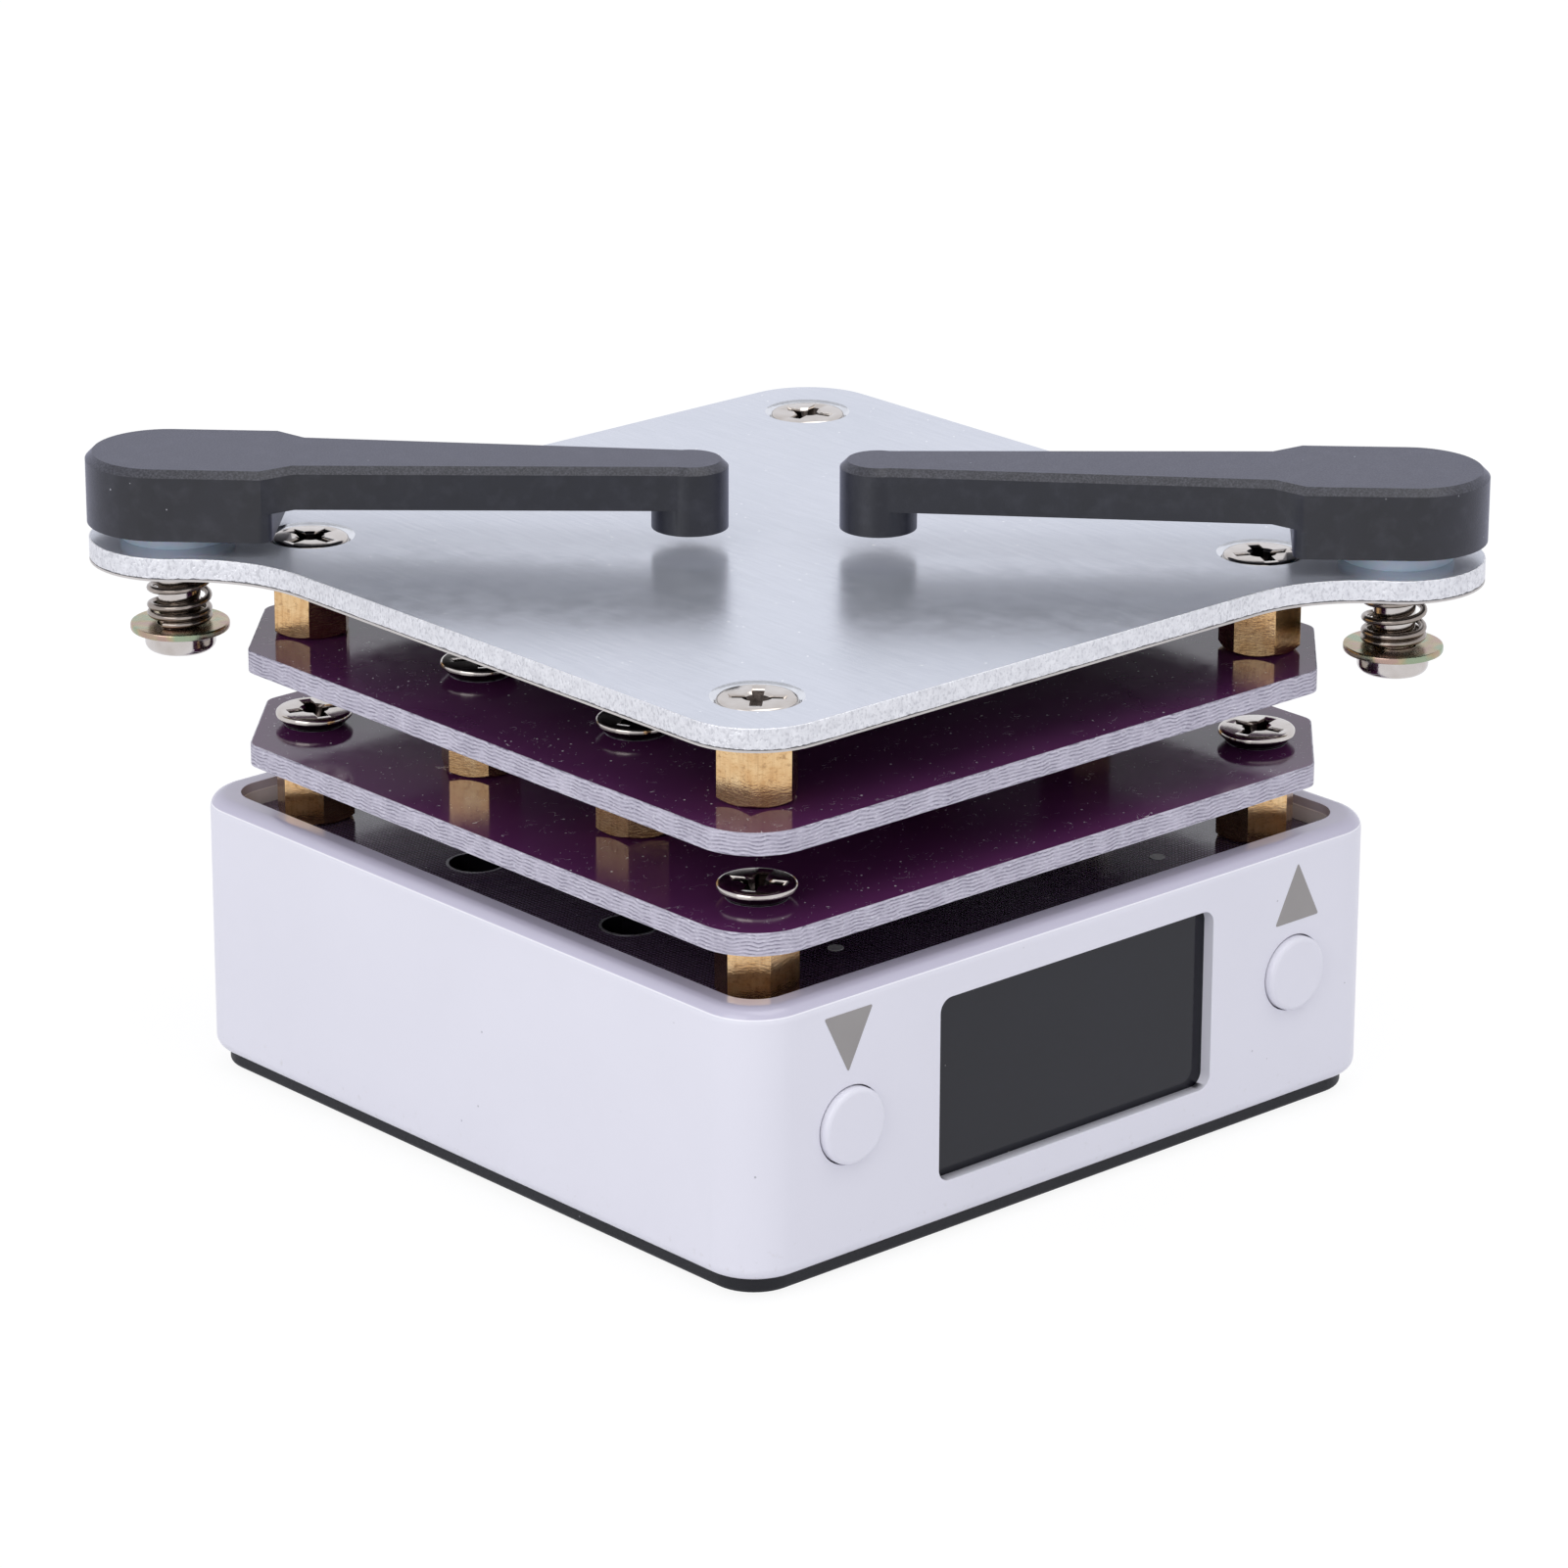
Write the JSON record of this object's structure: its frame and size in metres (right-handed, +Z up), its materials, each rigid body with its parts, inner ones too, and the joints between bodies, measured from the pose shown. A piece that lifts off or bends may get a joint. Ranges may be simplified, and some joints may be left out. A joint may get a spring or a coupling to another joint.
{
  "type": "pcb preheater",
  "caption": "Small square hotplate for preheating circuit boards, with a stacked board tower on brass standoffs, a display with buttons, and two sprung swing clamps.",
  "frame": {"origin": "centre of the footprint, at the height of the table under the foot pads", "axes": "+Z up, -Y out of the display face, +X to the right as seen from the display"},
  "size_m": [0.0726, 0.0726, 0.0461],
  "materials": {
    "white_plastic": "satin moulded, faint lavender tint",
    "button_plastic": "satin moulded",
    "black_plastic": "satin moulded",
    "pad_silicone": "matt silicone",
    "nickel_screw": "nickel plated",
    "circuit_board": "glossy dark purple solder mask on glass fibre laminate",
    "brass": "turned and brushed",
    "plate_aluminium": "fine brushed face, bright cut edge",
    "insulation": "thin printed insulation",
    "track_metal": "printed resistance track",
    "sensor_ceramic": "ceramic chip",
    "lead_sleeve": "heat resistant sleeve",
    "display_glass": "dark polished cover glass",
    "panel_black": "display module",
    "foam": "adhesive foam",
    "flex_film": "polyimide film",
    "component_black": "moulded component body",
    "component_grey": "ferrite body",
    "component_tan": "ceramic body",
    "pin_metal": "gold plated pins",
    "socket_steel": "stamped sheet",
    "pad_metal": "tinned pad",
    "clamp_plastic": "matt charcoal black",
    "nylon": "translucent nylon",
    "spring_steel": "bright wire",
    "zinc_washer": "zinc plated"
  },
  "bodies": {
    "base_unit": {"housing": "white_plastic", "bottom_cover": "black_plastic", "foot_pads": "pad_silicone", "cover_screws": "nickel_screw", "main_board": "circuit_board", "main_board_screws": "nickel_screw", "low_standoffs": "brass", "lower_board": "circuit_board", "lower_board_screws": "nickel_screw", "mid_standoffs": "brass", "mid_under_screws": "nickel_screw", "upper_board": "circuit_board", "upper_board_screws": "nickel_screw", "high_standoffs": "brass", "high_under_screws": "nickel_screw", "test_pads": "pad_metal", "heater_plate": "plate_aluminium", "plate_screws": "nickel_screw", "insulation_layer": "insulation", "heater_track": "track_metal", "temperature_sensor": "sensor_ceramic", "heater_leads": "lead_sleeve", "sensor_leads": "lead_sleeve", "display_glass": "display_glass", "display_panel": "panel_black", "display_foam": "foam", "display_flex": "flex_film", "front_board": "circuit_board", "switch_bodies": "component_black", "header_body": "component_black", "header_pins": "pin_metal", "power_socket_shell": "socket_steel", "power_socket_core": "component_black", "controller_chip": "component_black", "power_chip": "component_black", "power_transistors": "component_black", "inductor": "component_grey", "capacitors": "component_tan", "slide_washers": "nylon"},
    "left_button": {"left_button": "button_plastic", "left_switch_plunger": "component_black"},
    "left_clamp_lift": {"left_spring_washer": "zinc_washer", "left_clamp_spring": "spring_steel"},
    "left_clamp": {"left_clamp_arm": "clamp_plastic", "left_clamp_insert": "brass", "left_clamp_screw": "nickel_screw"},
    "right_button": {"right_button": "button_plastic", "right_switch_plunger": "component_black"},
    "right_clamp_lift": {"right_spring_washer": "zinc_washer", "right_clamp_spring": "spring_steel"},
    "right_clamp": {"right_clamp_arm": "clamp_plastic", "right_clamp_insert": "brass", "right_clamp_screw": "nickel_screw"}
  },
  "joints": [
    {"name": "left_button_press", "type": "slide", "parent": "base_unit", "child": "left_button", "axis": [0, 1, 0], "range_m": [0, 0.0005], "stiffness_N_per_m": 2000, "springref_m": -0.0005},
    {"name": "left_clamp_raise", "type": "slide", "parent": "base_unit", "child": "left_clamp_lift", "axis": [0, 0, 1], "range_m": [0, 0.002], "stiffness_N_per_m": 1000, "springref_m": -0.003, "deforming": ["left_clamp_spring"]},
    {"name": "left_clamp_turn", "type": "hinge", "parent": "left_clamp_lift", "child": "left_clamp", "pos_m": [-0.0301, 0.0301, 0.0408], "axis": [0, 0, 1], "continuous": true},
    {"name": "right_button_press", "type": "slide", "parent": "base_unit", "child": "right_button", "axis": [0, 1, 0], "range_m": [0, 0.0005], "stiffness_N_per_m": 2000, "springref_m": -0.0005},
    {"name": "right_clamp_raise", "type": "slide", "parent": "base_unit", "child": "right_clamp_lift", "axis": [0, 0, 1], "range_m": [0, 0.002], "stiffness_N_per_m": 1000, "springref_m": -0.003, "deforming": ["right_clamp_spring"]},
    {"name": "right_clamp_turn", "type": "hinge", "parent": "right_clamp_lift", "child": "right_clamp", "pos_m": [0.0301, -0.0301, 0.0408], "axis": [0, 0, 1], "continuous": true}
  ]
}
